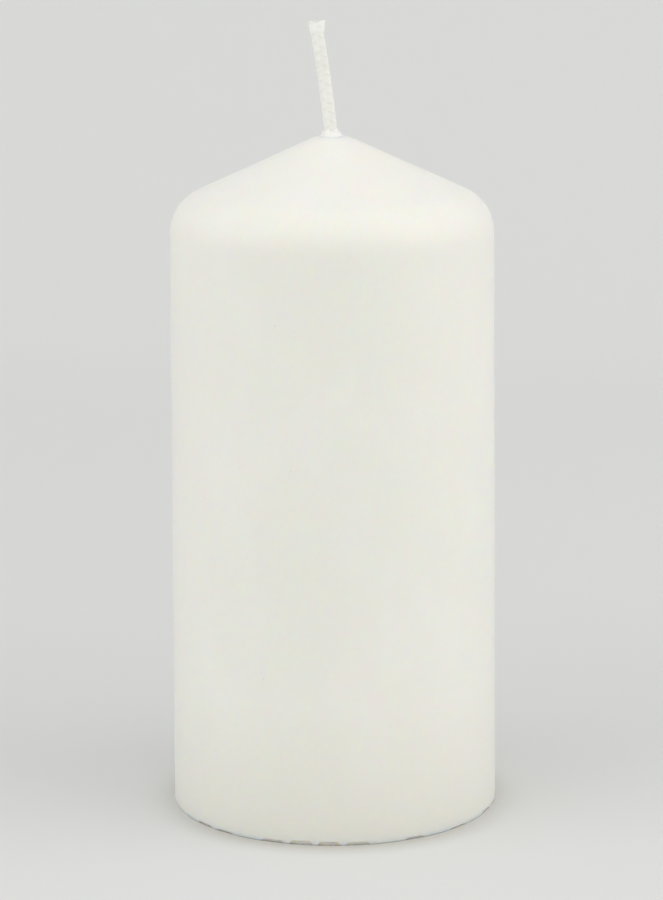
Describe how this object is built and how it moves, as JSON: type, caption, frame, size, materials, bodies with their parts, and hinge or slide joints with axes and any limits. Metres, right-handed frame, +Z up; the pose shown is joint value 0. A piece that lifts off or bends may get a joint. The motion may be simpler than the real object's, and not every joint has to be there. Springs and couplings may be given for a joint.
{
  "type": "pillar candle",
  "caption": "Tall round pillar candle with a low conical top, a rounded shoulder and a long plaited wick, lit as the shared candle at a wedding.",
  "frame": {"origin": "centre of the candle's foot, on the plane it stands on", "axes": "+Z up along the candle's axis; -Y faces the viewer, across the wide face of the flat wick; +X to the viewer's right"},
  "size_m": [0.071, 0.071, 0.1704],
  "materials": {
    "core_wax": "cast paraffin wax, dull and slightly translucent",
    "coat_wax": "hard ivory dip wax, satin and translucent at its edges",
    "tinplate": "thin stamped tinplate, lightly scratched",
    "cotton": "bleached cotton plait primed with wax"
  },
  "bodies": {
    "candle": {"wax_core": "core_wax", "dip_coat": "coat_wax", "wick_collar": "coat_wax", "wick_sustainer": "tinplate", "wick": "cotton"},
    "free_wick": {"wick_end": "cotton"}
  },
  "joints": [
    {"name": "wick_bend", "type": "hinge", "parent": "candle", "child": "free_wick", "pos_m": [0, 0, 0.1489], "axis": [1, 0, 0], "range_deg": [-75, 75]}
  ]
}
